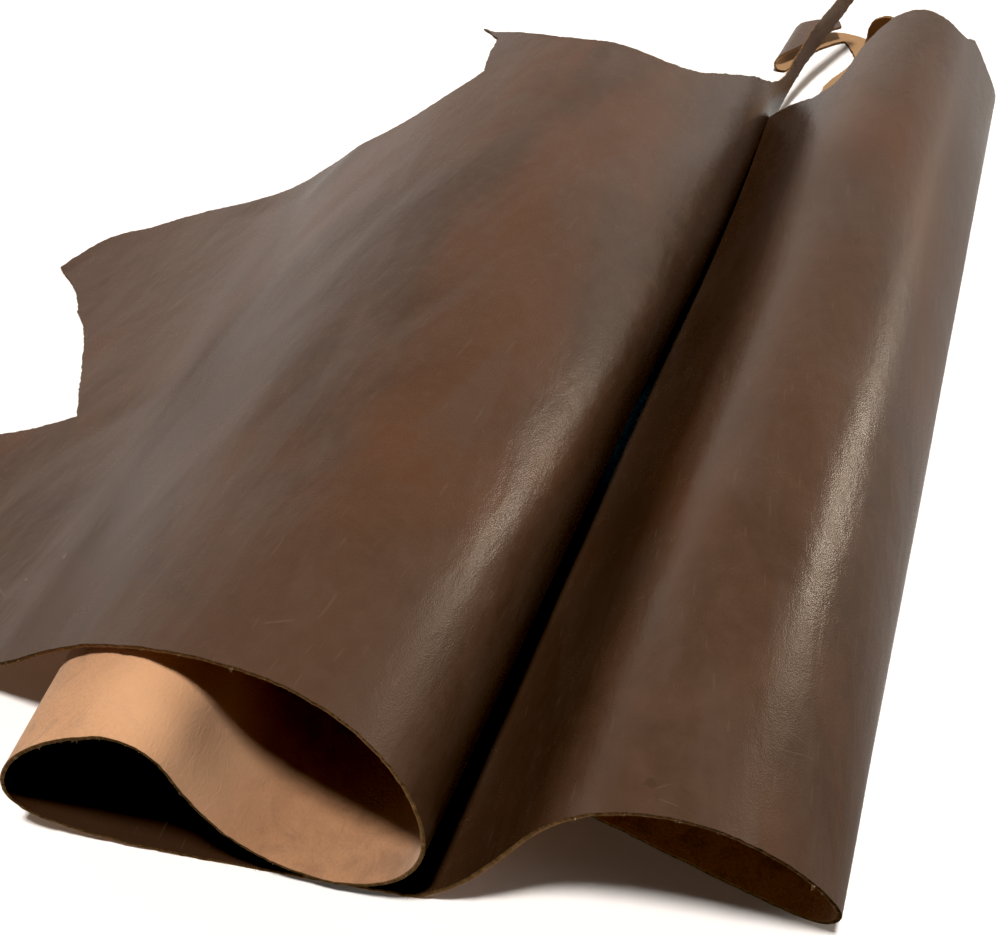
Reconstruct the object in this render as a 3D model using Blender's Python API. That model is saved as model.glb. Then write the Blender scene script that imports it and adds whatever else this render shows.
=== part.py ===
"""A side of leather, folded back and forth on itself in five layers.

One skin, cut straight along the backbone and left as the animal's own outline
along the belly.  The blank is cut flat, is given its thickness, and is then
folded.  Every fold is a straight line across the hide, so the sheet keeps its
size.  Two flaps beyond the belly line bend about short lines of their own.

Units are metres.  +Z is up and -Y faces the straight backbone cut.
"""
import math
from collections import namedtuple

import bmesh
import bpy
import numpy as np
from mathutils import Vector, geometry

THICKNESS = 0.0032          # the skin, grain face to flesh face
TURN_STEP = 7.5             # degrees a fold may turn between two rulings
LONG_STEP = 0.060           # widest strip between two rulings
SHORT_STEP = 0.005          # narrowest strip
ROW_STEP = 0.100            # rows across the hide, up to the belly
CURL_ROW_STEP = 0.035       # rows where the flaps curl
CURL_ROWS_FROM = 1.10
RIM_MERGE = 0.22            # rim points nearer than this share a cell corner
RIM_CLEAR = 0.40            # inner grid points stay this far off the rim
HEADING = -11.2             # degrees the rest line is turned about +Z
ORIGIN = (-0.0312, -0.6481)   # where the rest line meets the backbone cut

# One row per ruling that is held: `at` is the distance along the backbone
# cut from the rest line, `turn` is how far the sheet has turned there (0 is
# level with the grain up, -180 level with the flesh up) and `lean` is how far
# the ruling leans from square across the hide.
Fold = namedtuple("Fold", "at turn lean")
FOLDS = (
    Fold(-2.000, 0.0, -13.0),       # neck, flat on the surface
    Fold(-1.440, 0.0, -13.0),
    Fold(-1.380, 4.0, -13.0),
    Fold(-1.300, 12.0, -13.0),
    Fold(-1.220, 19.0, -12.5),      # rises over the fold below
    Fold(-1.140, 41.0, -12.5),
    Fold(-1.060, 34.0, -12.0),
    Fold(-0.980, 19.0, -12.0),
    Fold(-0.913, 7.0, -12.0),       # crown of the top layer
    Fold(-0.793, -51.0, -5.0),
    Fold(-0.732, -85.0, -4.5),      # first hairpin, at the right
    Fold(-0.697, -118.0, -5.5),
    Fold(-0.646, -161.5, -7.5),
    Fold(-0.583, -205.5, -5.0),     # second layer, flesh up
    Fold(-0.481, -252.0, -5.0),
    Fold(-0.413, -159.5, -2.5),
    Fold(-0.366, -144.0, 2.0),
    Fold(-0.307, -108.0, 2.5),      # second hairpin, at the left
    Fold(-0.253, -20.5, 0.0),
    Fold(-0.129, -0.5, 3.0),        # bottom layer, grain up
    Fold(-0.042, 0.0, 4.0),
    Fold(0.000, 0.0, 7.5),          # the rest line
    Fold(0.022, 35.0, 7.5),
    Fold(0.109, 57.5, 10.0),        # left flank of the tall roll
    Fold(0.198, 11.0, 11.0),
    Fold(0.281, -34.0, 9.5),
    Fold(0.345, -55.0, 7.5),
    Fold(0.374, -67.5, 9.5),        # third hairpin, under the roll
    Fold(0.431, -174.5, 13.0),
    Fold(0.500, -180.0, 14.0),      # last layer, flesh up, on the surface
    Fold(0.757, -180.0, 7.5),
    Fold(0.767, -235.0, 7.5),       # hairpin in the hind shank alone
    Fold(0.777, -312.0, 7.5),
    Fold(0.786, -354.0, 7.5),
    Fold(0.900, -359.0, 7.5),
)

# The flat outline, round the skin from the neck: `along` the backbone cut,
# `across` the hide from it, and whether the edge turns sharply there.
Corner = namedtuple("Corner", "along across sharp")
OUTLINE = (
    Corner(0.615, 0.000, True),     # rump end of the backbone cut
    Corner(0.655, 0.300, False),
    Corner(0.695, 0.600, False),
    Corner(0.740, 0.930, False),
    Corner(0.815, 1.040, False),
    Corner(0.842, 1.120, False),    # hind shank, its near edge
    Corner(0.836, 1.200, False),
    Corner(0.838, 1.232, False),
    Corner(0.867, 1.272, True),
    Corner(0.888, 1.235, False),
    Corner(0.903, 1.150, False),
    Corner(0.922, 1.147, False),    # where the shank doubles back
    Corner(0.950, 1.180, False),
    Corner(0.980, 1.232, False),
    Corner(1.002, 1.255, True),
    Corner(0.993, 1.282, True),
    Corner(0.955, 1.266, False),
    Corner(0.925, 1.245, False),
    Corner(0.890, 1.290, False),    # its far edge
    Corner(0.842, 1.290, False),
    Corner(0.826, 1.240, False),
    Corner(0.819, 1.180, False),
    Corner(0.815, 1.118, True),     # slit between shank and thigh
    Corner(0.811, 1.200, False),
    Corner(0.803, 1.232, False),
    Corner(0.780, 1.244, False),
    Corner(0.730, 1.240, False),    # thigh, which curls up
    Corner(0.680, 1.190, False),
    Corner(0.635, 1.105, True),
    Corner(0.546, 1.073, False),    # belly, round the tall roll
    Corner(0.489, 1.073, True),
    Corner(0.462, 1.052, False),
    Corner(0.418, 1.078, False),
    Corner(0.386, 1.071, False),
    Corner(0.351, 1.030, False),
    Corner(0.319, 0.975, False),
    Corner(0.287, 0.993, False),
    Corner(0.211, 1.088, False),
    Corner(0.100, 1.105, False),
    Corner(-0.040, 1.050, False),   # belly, hidden under the top layer
    Corner(-0.180, 0.920, False),
    Corner(-0.290, 0.860, False),
    Corner(-0.400, 0.870, False),
    Corner(-0.520, 0.930, False),
    Corner(-0.650, 1.050, False),
    Corner(-0.765, 1.105, False),
    Corner(-0.805, 1.170, False),   # flank flap at the first hairpin
    Corner(-0.822, 1.220, False),
    Corner(-0.832, 1.280, False),
    Corner(-0.836, 1.350, False),
    Corner(-0.838, 1.392, True),
    Corner(-0.852, 1.388, True),
    Corner(-0.853, 1.340, False),
    Corner(-0.852, 1.280, False),
    Corner(-0.842, 1.220, False),
    Corner(-0.835, 1.180, False),
    Corner(-0.845, 1.135, True),
    Corner(-0.868, 1.086, False),   # far edge of the top layer
    Corner(-0.924, 0.966, False),
    Corner(-0.961, 0.932, False),
    Corner(-1.011, 0.914, False),
    Corner(-1.071, 0.888, False),
    Corner(-1.148, 0.891, False),
    Corner(-1.171, 0.903, True),    # thin tag
    Corner(-1.139, 0.873, True),
    Corner(-1.132, 0.837, False),
    Corner(-1.119, 0.797, True),
    Corner(-1.138, 0.750, False),
    Corner(-1.175, 0.700, False),
    Corner(-1.237, 0.678, False),
    Corner(-1.324, 0.675, False),
    Corner(-1.378, 0.656, False),
    Corner(-1.438, 0.629, False),
    Corner(-1.481, 0.592, False),
    Corner(-1.514, 0.559, False),
    Corner(-1.528, 0.492, True),    # tip of the fore shank
    Corner(-1.485, 0.463, False),
    Corner(-1.456, 0.431, True),
    Corner(-1.428, 0.406, False),
    Corner(-1.357, 0.311, False),
    Corner(-1.335, 0.281, True),    # hollow between shank and neck
    Corner(-1.373, 0.256, False),
    Corner(-1.440, 0.220, False),
    Corner(-1.520, 0.175, True),    # neck, cut off plain
    Corner(-1.505, 0.000, True),
)

# Where the far edge bends about a short line of its own: a point on the line,
# the line's bearing from the backbone cut, how far the bend reaches either
# way along it, and the bend itself.  The skin to the line's left is bent.
Curl = namedtuple("Curl", "name along across bearing reach radius turn"
                  " towards_grain")
CURLS = (
    Curl("flank_flap", -0.860, 1.120, -20.0, 0.110, 0.600, 60.0, True),
    Curl("thigh", 0.720, 1.110, 0.0, 0.0935, 0.060, 110.0, False),
)


def even_slopes(at, values):
    """Slopes at the held rulings that never overshoot between two of them."""
    step = np.diff(at)
    rise = np.diff(values) / step
    slope = np.zeros(len(at))
    for i in range(1, len(at) - 1):
        if rise[i - 1] * rise[i] > 0.0:
            near = 2.0 * step[i] + step[i - 1]
            far = step[i] + 2.0 * step[i - 1]
            slope[i] = (near + far) / (near / rise[i - 1] + far / rise[i])
    return slope


def smooth(at, values, where):
    """A smooth monotone curve through (at, values), read at `where`."""
    at = np.asarray(at, float)
    values = np.asarray(values, float)
    where = np.clip(where, at[0], at[-1])
    slope = even_slopes(at, values)
    i = np.clip(np.searchsorted(at, where, side="right") - 1, 0, len(at) - 2)
    step = at[i + 1] - at[i]
    t = (where - at[i]) / step
    return (values[i] * (1 + 2 * t) * (1 - t) ** 2
            + values[i + 1] * t * t * (3 - 2 * t)
            + step * t * (1 - t) * (slope[i] * (1 - t) - slope[i + 1] * t))


def turned(axis_x, axis_y, angle):
    """Rotation by `angle` about a line lying in the sheet."""
    k = np.array(((0.0, 0.0, axis_y), (0.0, 0.0, -axis_x),
                  (-axis_y, axis_x, 0.0)))
    return np.eye(3) + math.sin(angle) * k + (1 - math.cos(angle)) * (k @ k)


class Drape:
    """Carries points of the flat skin to where they lie when it is folded."""

    STEP = 0.002

    def __init__(self, folds, origin, heading):
        at = [fold.at for fold in folds]
        before = int(round(-at[0] / self.STEP))
        after = int(round(at[-1] / self.STEP))
        self.along = np.arange(-before, after + 1) * self.STEP
        self.turn = np.radians(
            smooth(at, [fold.turn for fold in folds], self.along))
        self.lean = np.radians(
            smooth(at, [fold.lean for fold in folds], self.along))
        count = len(self.along)
        self.base = np.zeros((count, 3))
        self.frame = np.zeros((count, 3, 3))
        c, s = math.cos(heading), math.sin(heading)
        self.base[before] = (origin[0], origin[1], THICKNESS / 2)
        self.frame[before] = ((c, -s, 0.0), (s, c, 0.0), (0.0, 0.0, 1.0))
        for way in (1, -1):
            i = before
            while 0 <= i + way < count:
                self.carry(i, i + way)
                i += way
        self.level_ends()

    def carry(self, i, j):
        """Step the frame from ruling i to its neighbour j."""
        lean = 0.5 * (self.lean[i] + self.lean[j])
        half = turned(math.sin(lean), math.cos(lean),
                      0.5 * (self.turn[i] - self.turn[j]))
        middle = self.frame[i] @ half
        step = self.along[j] - self.along[i]
        self.base[j] = self.base[i] + step * middle[:, 0]
        self.frame[j] = middle @ half

    def level_ends(self):
        """The plane each end came to, to be let down on the surface."""
        self.ends = []
        for station, start, full in ((-1.50, -0.95, -1.40), (0.60, 0.38, 0.46)):
            index = int(np.argmin(np.abs(self.along - station)))
            normal = self.frame[index][:, 2]
            foot = self.base[index]
            slope = -normal[:2] / normal[2]
            height = foot[2] - THICKNESS / 2 - slope @ foot[:2]
            self.ends.append((start, full, slope, height))

    def place(self, along, across, lift):
        """The folded place of one point of the flat skin."""
        foot, beyond, lift = curled(along, across, lift)
        ruling = self.along + foot[1] * np.tan(self.lean)
        station = np.interp(foot[0], ruling, self.along)
        i = int((station - self.along[0]) / self.STEP)
        i = min(max(i, 0), len(self.along) - 2)
        t = (station - self.along[i]) / self.STEP
        along, across = foot + beyond
        near = self.base[i] + self.frame[i] @ (along - self.along[i],
                                               across, lift)
        far = (self.base[i + 1] + self.frame[i + 1]
               @ (along - self.along[i + 1], across, lift))
        point = (1 - t) * near + t * far
        for start, full, slope, height in self.ends:
            share = min(max((station - start) / (full - start), 0.0), 1.0)
            share = share * share * (3 - 2 * share)
            point[2] -= share * (height + slope @ point[:2])
        return point


def curled(along, across, lift):
    """The nearest unbent point, the way on from it, and the height there."""
    flat = np.array((along, across))
    for curl in CURLS:
        bearing = math.radians(curl.bearing)
        line = np.array((math.cos(bearing), math.sin(bearing)))
        aside = np.array((-line[1], line[0]))
        offset = flat - (curl.along, curl.across)
        out = offset @ aside
        if out > 0.0 and abs(offset @ line) < curl.reach:
            way = 1.0 if curl.towards_grain else -1.0
            full = math.radians(curl.turn)
            angle = min(out / curl.radius, full)
            rest = out - angle * curl.radius
            inner = curl.radius - way * lift
            ahead = inner * math.sin(angle) + rest * math.cos(angle)
            height = (curl.radius - inner * math.cos(angle)
                      + rest * math.sin(angle))
            return flat - out * aside, ahead * aside, way * height
    return flat, np.zeros(2), lift


def outline_run(corners, step=0.008):
    """The closed outline as short steps, with every table row kept."""
    count = len(corners)
    run = []
    for i, corner in enumerate(corners):
        after = corners[(i + 1) % count]
        a = np.array((corner.along, corner.across))
        b = np.array((after.along, after.across))
        before = corners[i - 1]
        beyond = corners[(i + 2) % count]
        leave = 0.5 * (b - (before.along, before.across))
        arrive = 0.5 * (np.array((beyond.along, beyond.across)) - a)
        if corner.sharp:
            leave = b - a
        if after.sharp:
            arrive = b - a
        length = np.linalg.norm(b - a)
        leave *= min(1.0, length / max(np.linalg.norm(leave), 1e-9))
        arrive *= min(1.0, length / max(np.linalg.norm(arrive), 1e-9))
        pieces = max(1, int(math.ceil(length / step)))
        for k in range(pieces):
            t = k / pieces
            point = (a * (1 + 2 * t) * (1 - t) ** 2 + b * t * t * (3 - 2 * t)
                     + leave * t * (1 - t) ** 2 - arrive * t * t * (1 - t))
            run.append((point[0], point[1], k == 0))
    return run


class Grid:
    """Counts rulings and rows, so that one cell is one by one."""

    def __init__(self, drape):
        self.drape = drape
        turn = np.abs(np.diff(drape.turn)) / math.radians(TURN_STEP)
        turn = np.minimum(turn, drape.STEP / SHORT_STEP)
        cells = np.maximum(turn, drape.STEP / LONG_STEP)
        self.column = np.concatenate(((0.0,), np.cumsum(cells)))

    def cell(self, along, across):
        """Column and row, as fractions, of a point of the flat skin."""
        ruling = self.drape.along + across * np.tan(self.drape.lean)
        column = np.interp(along, ruling, self.column)
        row = min(across, CURL_ROWS_FROM) / ROW_STEP
        row += max(across - CURL_ROWS_FROM, 0.0) / CURL_ROW_STEP
        return column, row

    def point(self, column, row):
        """The flat point at a column and row."""
        turning = CURL_ROWS_FROM / ROW_STEP
        across = min(row, turning) * ROW_STEP
        across += max(row - turning, 0.0) * CURL_ROW_STEP
        along = np.interp(column, self.column, self.drape.along)
        lean = np.interp(column, self.column, self.drape.lean)
        return along + across * math.tan(lean), across


def rim_points(grid):
    """Outline vertices: the table rows, and where the edge meets the grid."""
    run = outline_run(OUTLINE)
    rim = []
    for i, (along, across, held) in enumerate(run):
        here = np.array(grid.cell(along, across))
        if held:
            rim.append((along, across, here, True))
        after = run[(i + 1) % len(run)]
        there = np.array(grid.cell(after[0], after[1]))
        marks = []
        for axis in (0, 1):
            low, high = sorted((here[axis], there[axis]))
            for line in range(int(math.ceil(low)), int(math.floor(high)) + 1):
                if high - low > 1e-9:
                    marks.append((line - here[axis])
                                 / (there[axis] - here[axis]))
        for t in sorted(marks):
            if 1e-3 < t < 1.0 - 1e-3:
                rim.append((along + t * (after[0] - along),
                            across + t * (after[1] - across),
                            here + t * (there - here), False))
    kept = []
    for point in rim:
        if kept and np.linalg.norm(point[2] - kept[-1][2]) < RIM_MERGE:
            if not point[3]:
                continue
            if not kept[-1][3]:
                kept.pop()
        kept.append(point)
    if np.linalg.norm(kept[0][2] - kept[-1][2]) < RIM_MERGE:
        kept.pop()
    return kept


def inside_and_clear(cell, ring, clear):
    """Whether a cell point is inside the ring and well away from it."""
    a = ring
    b = np.roll(ring, -1, axis=0)
    d = b - a
    t = ((cell - a) * d).sum(axis=1) / (d * d).sum(axis=1)
    gap = a + np.clip(t, 0.0, 1.0)[:, None] * d - cell
    if (gap * gap).sum(axis=1).min() < clear * clear:
        return False
    spans = (a[:, 1] > cell[1]) != (b[:, 1] > cell[1])
    crossing = a[spans, 0] + ((cell[1] - a[spans, 1]) * d[spans, 0]
                              / d[spans, 1])
    return np.count_nonzero(crossing > cell[0]) % 2 == 1


def cut_blank(grid):
    """The flat skin as triangles: its points, and three indices a triangle."""
    rim = rim_points(grid)
    flat = [(point[0], point[1]) for point in rim]
    cells = [point[2] for point in rim]
    ring = np.array(cells)
    low = np.floor(ring.min(axis=0)).astype(int)
    high = np.ceil(ring.max(axis=0)).astype(int)
    for column in range(low[0], high[0] + 1):
        for row in range(low[1], high[1] + 1):
            if inside_and_clear(np.array((column, row)), ring, RIM_CLEAR):
                flat.append(grid.point(column, row))
                cells.append(np.array((column, row)))
    loop = list(range(len(rim)))
    edges = [(i, (i + 1) % len(rim)) for i in loop]
    found = geometry.delaunay_2d_cdt([Vector(cell) for cell in cells],
                                     edges, [loop], 1, 1e-5)
    points = [flat[sources[0]] for sources in found[3]]
    return points, found[2]


def fold_hide():
    """Cut the blank, give it its thickness and fold it."""
    drape = Drape(FOLDS, ORIGIN, math.radians(HEADING))
    points, triangles = cut_blank(Grid(drape))
    skin = bmesh.new()
    verts = [skin.verts.new((along, across, -THICKNESS / 2))
             for along, across in points]
    for triangle in triangles:
        skin.faces.new([verts[i] for i in triangle])
    bmesh.ops.recalc_face_normals(skin, faces=skin.faces)
    grown = bmesh.ops.extrude_face_region(
        skin, geom=skin.faces[:], use_keep_orig=True)["geom"]
    bmesh.ops.translate(
        skin, vec=(0.0, 0.0, THICKNESS),
        verts=[part for part in grown if isinstance(part, bmesh.types.BMVert)])
    bmesh.ops.recalc_face_normals(skin, faces=skin.faces)
    for vert in skin.verts:
        vert.co = drape.place(*vert.co)
    mesh = bpy.data.meshes.new("hide")
    skin.to_mesh(mesh)
    skin.free()
    return mesh


def waxed_brown():
    """Dark brown waxed grain."""
    material = bpy.data.materials.new("waxed_brown_leather")
    material.use_nodes = True
    shader = material.node_tree.nodes["Principled BSDF"]
    shader.inputs["Base Color"].default_value = (0.085, 0.052, 0.036, 1.0)
    shader.inputs["Roughness"].default_value = 0.45
    shader.inputs["Metallic"].default_value = 0.0
    return material


def main():
    """Clear the scene and lay the hide in it."""
    for thing in list(bpy.data.objects):
        bpy.data.objects.remove(thing, do_unlink=True)
    mesh = fold_hide()
    mesh.materials.append(waxed_brown())
    hide = bpy.data.objects.new("hide", mesh)
    bpy.context.scene.collection.objects.link(hide)
    mesh.shade_smooth()
    mesh.set_sharp_from_angle(angle=math.radians(40.0))


main()
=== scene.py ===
"""A side of waxed leather, folded back and forth on itself in five layers.

One skin, grain side dark brown and waxed, flesh side tan and napped.  It is
cut flat to its outline, given its soft creases and its thickness, and folded
along straight rulings, so the sheet keeps its size.  Loose fibres stand on
its cut edge.
"""
import logging
import math
import random
from dataclasses import dataclass, field
from enum import Enum
from typing import Any, NamedTuple, Sequence

import bmesh
import bpy
import numpy as np
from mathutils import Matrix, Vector, noise


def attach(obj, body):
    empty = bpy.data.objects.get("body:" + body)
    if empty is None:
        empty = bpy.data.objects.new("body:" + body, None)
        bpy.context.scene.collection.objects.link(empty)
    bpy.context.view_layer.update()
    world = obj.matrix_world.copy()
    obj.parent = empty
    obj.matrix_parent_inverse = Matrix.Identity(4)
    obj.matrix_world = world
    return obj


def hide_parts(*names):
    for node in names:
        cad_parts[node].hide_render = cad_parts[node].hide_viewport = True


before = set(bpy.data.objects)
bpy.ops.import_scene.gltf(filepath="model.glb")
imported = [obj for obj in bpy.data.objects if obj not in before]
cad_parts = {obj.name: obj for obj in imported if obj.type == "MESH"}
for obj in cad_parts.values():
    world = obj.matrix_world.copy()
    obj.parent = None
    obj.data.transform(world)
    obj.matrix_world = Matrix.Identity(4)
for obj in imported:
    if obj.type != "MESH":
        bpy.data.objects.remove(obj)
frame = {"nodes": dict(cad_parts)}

LOG = logging.getLogger("hide")
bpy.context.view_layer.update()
Pair = tuple[float, float]
Colour = tuple[float, float, float, float]


class Side(Enum):
    """The faces of the skin, in the order of its material slots."""

    GRAIN = 0
    FLESH = 1
    EDGE = 2


class LampKind(Enum):
    """What a lamp is, by Blender's own names."""

    SUN = "SUN"
    AREA = "AREA"


class Fold(NamedTuple):
    """One held ruling: how far along, how far turned, how far it leans."""

    at: float
    turn: float
    lean: float


class Corner(NamedTuple):
    """One point of the flat outline, and whether the edge turns sharply."""

    along: float
    across: float
    sharp: bool = False


class Bend(NamedTuple):
    """A flap that bends about a short line of its own."""

    along: float
    across: float
    bearing: float
    reach: float
    radius: float
    turn: float
    towards_grain: bool


class Crease(NamedTuple):
    """A soft ridge (or trough, if its height is negative) in the skin."""

    along: float
    across: float
    bearing: float
    length: float
    width: float
    height: float


class Mark(NamedTuple):
    """A spot on the grain: where, how large, and how dark or light."""

    along: float
    across: float
    radius: float
    tone: float


class Patch(NamedTuple):
    """A soft round patch of the flat skin, and how strongly it tells."""

    along: float
    across: float
    radius: float
    more: float


class Scratch(NamedTuple):
    """A fine line on the grain, from one point to another."""

    along: float
    across: float
    to_along: float
    to_across: float
    width: float


class End(NamedTuple):
    """Where the skin is let down: read at, from and wholly past a station."""

    station: float
    start: float
    full: float


class Cloud(NamedTuple):
    """A cloudy pattern: clouds a metre, octaves, and how it is drawn out."""

    scale: float
    detail: float
    rough: float
    warp: float = 0.0
    stretch: float = 1.0
    turn: float = 0.0


class Layer(NamedTuple):
    """A colour laid on where a pattern goes from low to high.

    The pattern is one cloudy field, or two with the share of the second.
    """

    colour: Colour
    low: float
    high: float
    share: float
    first: Cloud
    second: Cloud | None = None
    mix: float = 0.0


class Relief(NamedTuple):
    """A pattern that raises the surface: metres, and share of the effect."""

    depth: float
    strength: float
    first: Cloud
    second: Cloud | None = None
    mix: float = 0.0


class Band(NamedTuple):
    """A strip of the skin, which slants across it, laid on as painted shade.
    """

    start: float
    end: float
    slant: float
    share: float


class Lamp(NamedTuple):
    """A lamp; a sun's spread is in degrees, an area's size in metres."""

    name: str
    kind: LampKind
    energy: float
    bearing: float
    height: float
    reach: float
    spread: float
    size: Pair
    colour: tuple[float, float, float]


FOLDS = tuple(Fold(*row) for row in (
    (-2.000, 0.0, -13.0),       # neck, flat on the surface
    (-1.440, 0.0, -13.0),
    (-1.380, 4.0, -13.0),
    (-1.300, 12.0, -13.0),
    (-1.220, 19.0, -12.5),      # rises over the fold below
    (-1.140, 41.0, -12.5),
    (-1.060, 34.0, -12.0),
    (-0.980, 19.0, -12.0),
    (-0.913, 7.0, -12.0),       # crown of the top layer
    (-0.793, -51.0, -5.0),
    (-0.732, -85.0, -4.5),      # first hairpin, at the right
    (-0.697, -118.0, -5.5),
    (-0.646, -161.5, -7.5),
    (-0.583, -205.5, -5.0),     # second layer, flesh up
    (-0.481, -252.0, -5.0),
    (-0.413, -159.5, -2.5),
    (-0.366, -144.0, 2.0),
    (-0.307, -108.0, 2.5),      # second hairpin, at the left
    (-0.253, -20.5, 0.0),
    (-0.129, -0.5, 3.0),        # bottom layer, grain up
    (-0.042, 0.0, 4.0),
    (0.000, 0.0, 7.5),          # the rest line
    (0.022, 35.0, 7.5),
    (0.109, 57.5, 10.0),        # left flank of the tall roll
    (0.198, 11.0, 11.0),
    (0.281, -34.0, 9.5),
    (0.345, -55.0, 7.5),
    (0.374, -67.5, 9.5),        # third hairpin, under the roll
    (0.431, -174.5, 13.0),
    (0.500, -180.0, 14.0),      # last layer, flesh up, on the surface
    (0.757, -180.0, 7.5),
    (0.767, -235.0, 7.5),       # hairpin in the hind shank alone
    (0.777, -312.0, 7.5),
    (0.786, -354.0, 7.5),
    (0.900, -359.0, 7.5),
))

OUTLINE = tuple(Corner(*row) for row in (
    # rump end of the backbone cut
    (0.615, 0.000, True), (0.655, 0.300), (0.695, 0.600), (0.740, 0.930),
    (0.815, 1.040),
    # hind shank, its near edge
    (0.842, 1.120), (0.836, 1.200), (0.838, 1.232), (0.867, 1.272, True),
    (0.888, 1.235), (0.903, 1.150),
    # where the shank doubles back
    (0.922, 1.147), (0.950, 1.180), (0.980, 1.232), (1.002, 1.255, True),
    (0.993, 1.282, True), (0.955, 1.266), (0.925, 1.245),
    # its far edge
    (0.890, 1.290), (0.842, 1.290), (0.826, 1.240), (0.819, 1.180),
    # slit between shank and thigh
    (0.815, 1.118, True), (0.811, 1.200), (0.803, 1.232), (0.780, 1.244),
    # thigh, which curls up
    (0.730, 1.240), (0.680, 1.190), (0.635, 1.105, True),
    # belly, round the tall roll
    (0.546, 1.073), (0.489, 1.073, True), (0.462, 1.052), (0.418, 1.078),
    (0.386, 1.071), (0.351, 1.030), (0.319, 0.975), (0.287, 0.993),
    (0.211, 1.088), (0.100, 1.105),
    # belly, hidden under the top layer
    (-0.040, 1.050), (-0.180, 0.920), (-0.290, 0.860), (-0.400, 0.870),
    (-0.520, 0.930), (-0.650, 1.050), (-0.765, 1.105),
    # flank flap at the first hairpin
    (-0.805, 1.170), (-0.822, 1.220), (-0.832, 1.280), (-0.836, 1.350),
    (-0.838, 1.392, True), (-0.852, 1.388, True), (-0.853, 1.340),
    (-0.852, 1.280), (-0.842, 1.220), (-0.835, 1.180), (-0.845, 1.135, True),
    # far edge of the top layer
    (-0.868, 1.086), (-0.924, 0.966), (-0.961, 0.932), (-1.011, 0.914),
    (-1.071, 0.888), (-1.148, 0.891),
    # thin tag
    (-1.171, 0.903, True), (-1.139, 0.873, True), (-1.132, 0.837),
    (-1.119, 0.797, True), (-1.138, 0.750), (-1.175, 0.700), (-1.237, 0.678),
    (-1.324, 0.675), (-1.378, 0.656), (-1.438, 0.629), (-1.481, 0.592),
    (-1.514, 0.559),
    # tip of the fore shank
    (-1.528, 0.492, True), (-1.485, 0.463), (-1.456, 0.431, True),
    (-1.428, 0.406), (-1.357, 0.311),
    # hollow between shank and neck
    (-1.335, 0.281, True), (-1.373, 0.256), (-1.440, 0.220),
    # neck, cut off plain
    (-1.520, 0.175, True), (-1.505, 0.000, True),
))

BENDS = (
    Bend(-0.860, 1.120, -20.0, 0.110, 0.600, 60.0, True),   # flank flap
    Bend(0.720, 1.110, 0.0, 0.0935, 0.060, 110.0, False),   # thigh
)

CREASES = tuple(Crease(*row) for row in (
    (-0.810, 0.620, 93.0, 0.760, 0.038, 0.0070),   # fuller shoulder
    (-0.808, 0.860, 95.0, 0.480, 0.045, 0.0055),
    (-0.405, 0.165, 88.0, 0.260, 0.066, -0.0140),  # props the top layer
    (-1.070, 0.200, 84.0, 0.300, 0.024, 0.0016),   # over the fold below
    (-1.230, 0.660, 60.0, 0.120, 0.018, 0.0020),
    (-1.320, 0.640, 20.0, 0.100, 0.020, -0.0014),
    (-0.905, 0.035, 70.0, 0.060, 0.010, -0.0007),
    (-1.200, 0.110, 40.0, 0.080, 0.014, -0.0012),
    (-1.240, 0.060, 15.0, 0.060, 0.010, 0.0010),
    (-1.120, 0.420, 78.0, 0.180, 0.022, -0.0014),
    (-1.050, 0.030, 96.0, 0.110, 0.012, 0.0014),
    (-1.085, 0.110, 70.0, 0.120, 0.012, -0.0011),
    (-1.150, 0.250, 66.0, 0.160, 0.016, 0.0013),
    (-1.110, 0.330, 60.0, 0.140, 0.012, -0.0010),
    (-1.190, 0.400, 72.0, 0.150, 0.016, 0.0012),
    (-1.270, 0.300, 50.0, 0.160, 0.020, -0.0014),
    (-1.030, 0.300, 88.0, 0.200, 0.014, -0.0008),
    (-1.170, 0.560, 64.0, 0.160, 0.014, -0.0012),
    (-1.060, 0.560, 80.0, 0.220, 0.018, 0.0010),
    (-0.960, 0.450, 84.0, 0.260, 0.020, -0.0009),
    (-0.940, 0.620, 80.0, 0.160, 0.030, 0.0010),
    (-0.980, 0.200, 75.0, 0.140, 0.020, -0.0011),
    (-0.995, 0.760, 70.0, 0.200, 0.022, -0.0010),
    (-0.820, 0.180, 92.0, 0.200, 0.012, 0.0006),
    (0.150, 0.300, 80.0, 0.200, 0.026, 0.0010),
    (0.240, 0.550, 84.0, 0.220, 0.030, -0.0012),
    (0.200, 0.420, 74.0, 0.200, 0.018, 0.0012),
    (0.230, 0.300, 70.0, 0.160, 0.014, -0.0008),
    (0.310, 0.420, 88.0, 0.180, 0.016, 0.0010),
    (0.350, 0.700, 92.0, 0.140, 0.014, -0.0010),
    (0.300, 0.800, 84.0, 0.180, 0.016, 0.0009),
    (0.180, 0.820, 70.0, 0.160, 0.026, 0.0012),
    (-0.560, 0.300, 82.0, 0.240, 0.028, 0.0010),
    (-0.470, 0.500, 88.0, 0.220, 0.024, -0.0010),
    (0.480, 0.400, 85.0, 0.200, 0.030, 0.0008),
))

MARKS = (
    Mark(0.212, 0.022, 0.0045, -0.9),
    Mark(0.300, 0.075, 0.0020, -0.5),
    Mark(-1.200, 0.110, 0.0030, 0.6),
    Mark(-1.225, 0.085, 0.0020, 0.7),
    Mark(-1.080, 0.330, 0.0022, -0.6),
    Mark(-1.030, 0.250, 0.0018, -0.6),
)

DULL = (
    Patch(-0.860, 0.020, 0.190, 0.14),
    Patch(0.300, 0.020, 0.200, 0.12),
    Patch(0.380, 0.700, 0.340, 0.10),
    Patch(0.300, 0.740, 0.120, 0.10),
    Patch(-0.830, 0.420, 0.320, 0.015),
    Patch(-1.230, 0.060, 0.160, -0.08),
)

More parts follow.
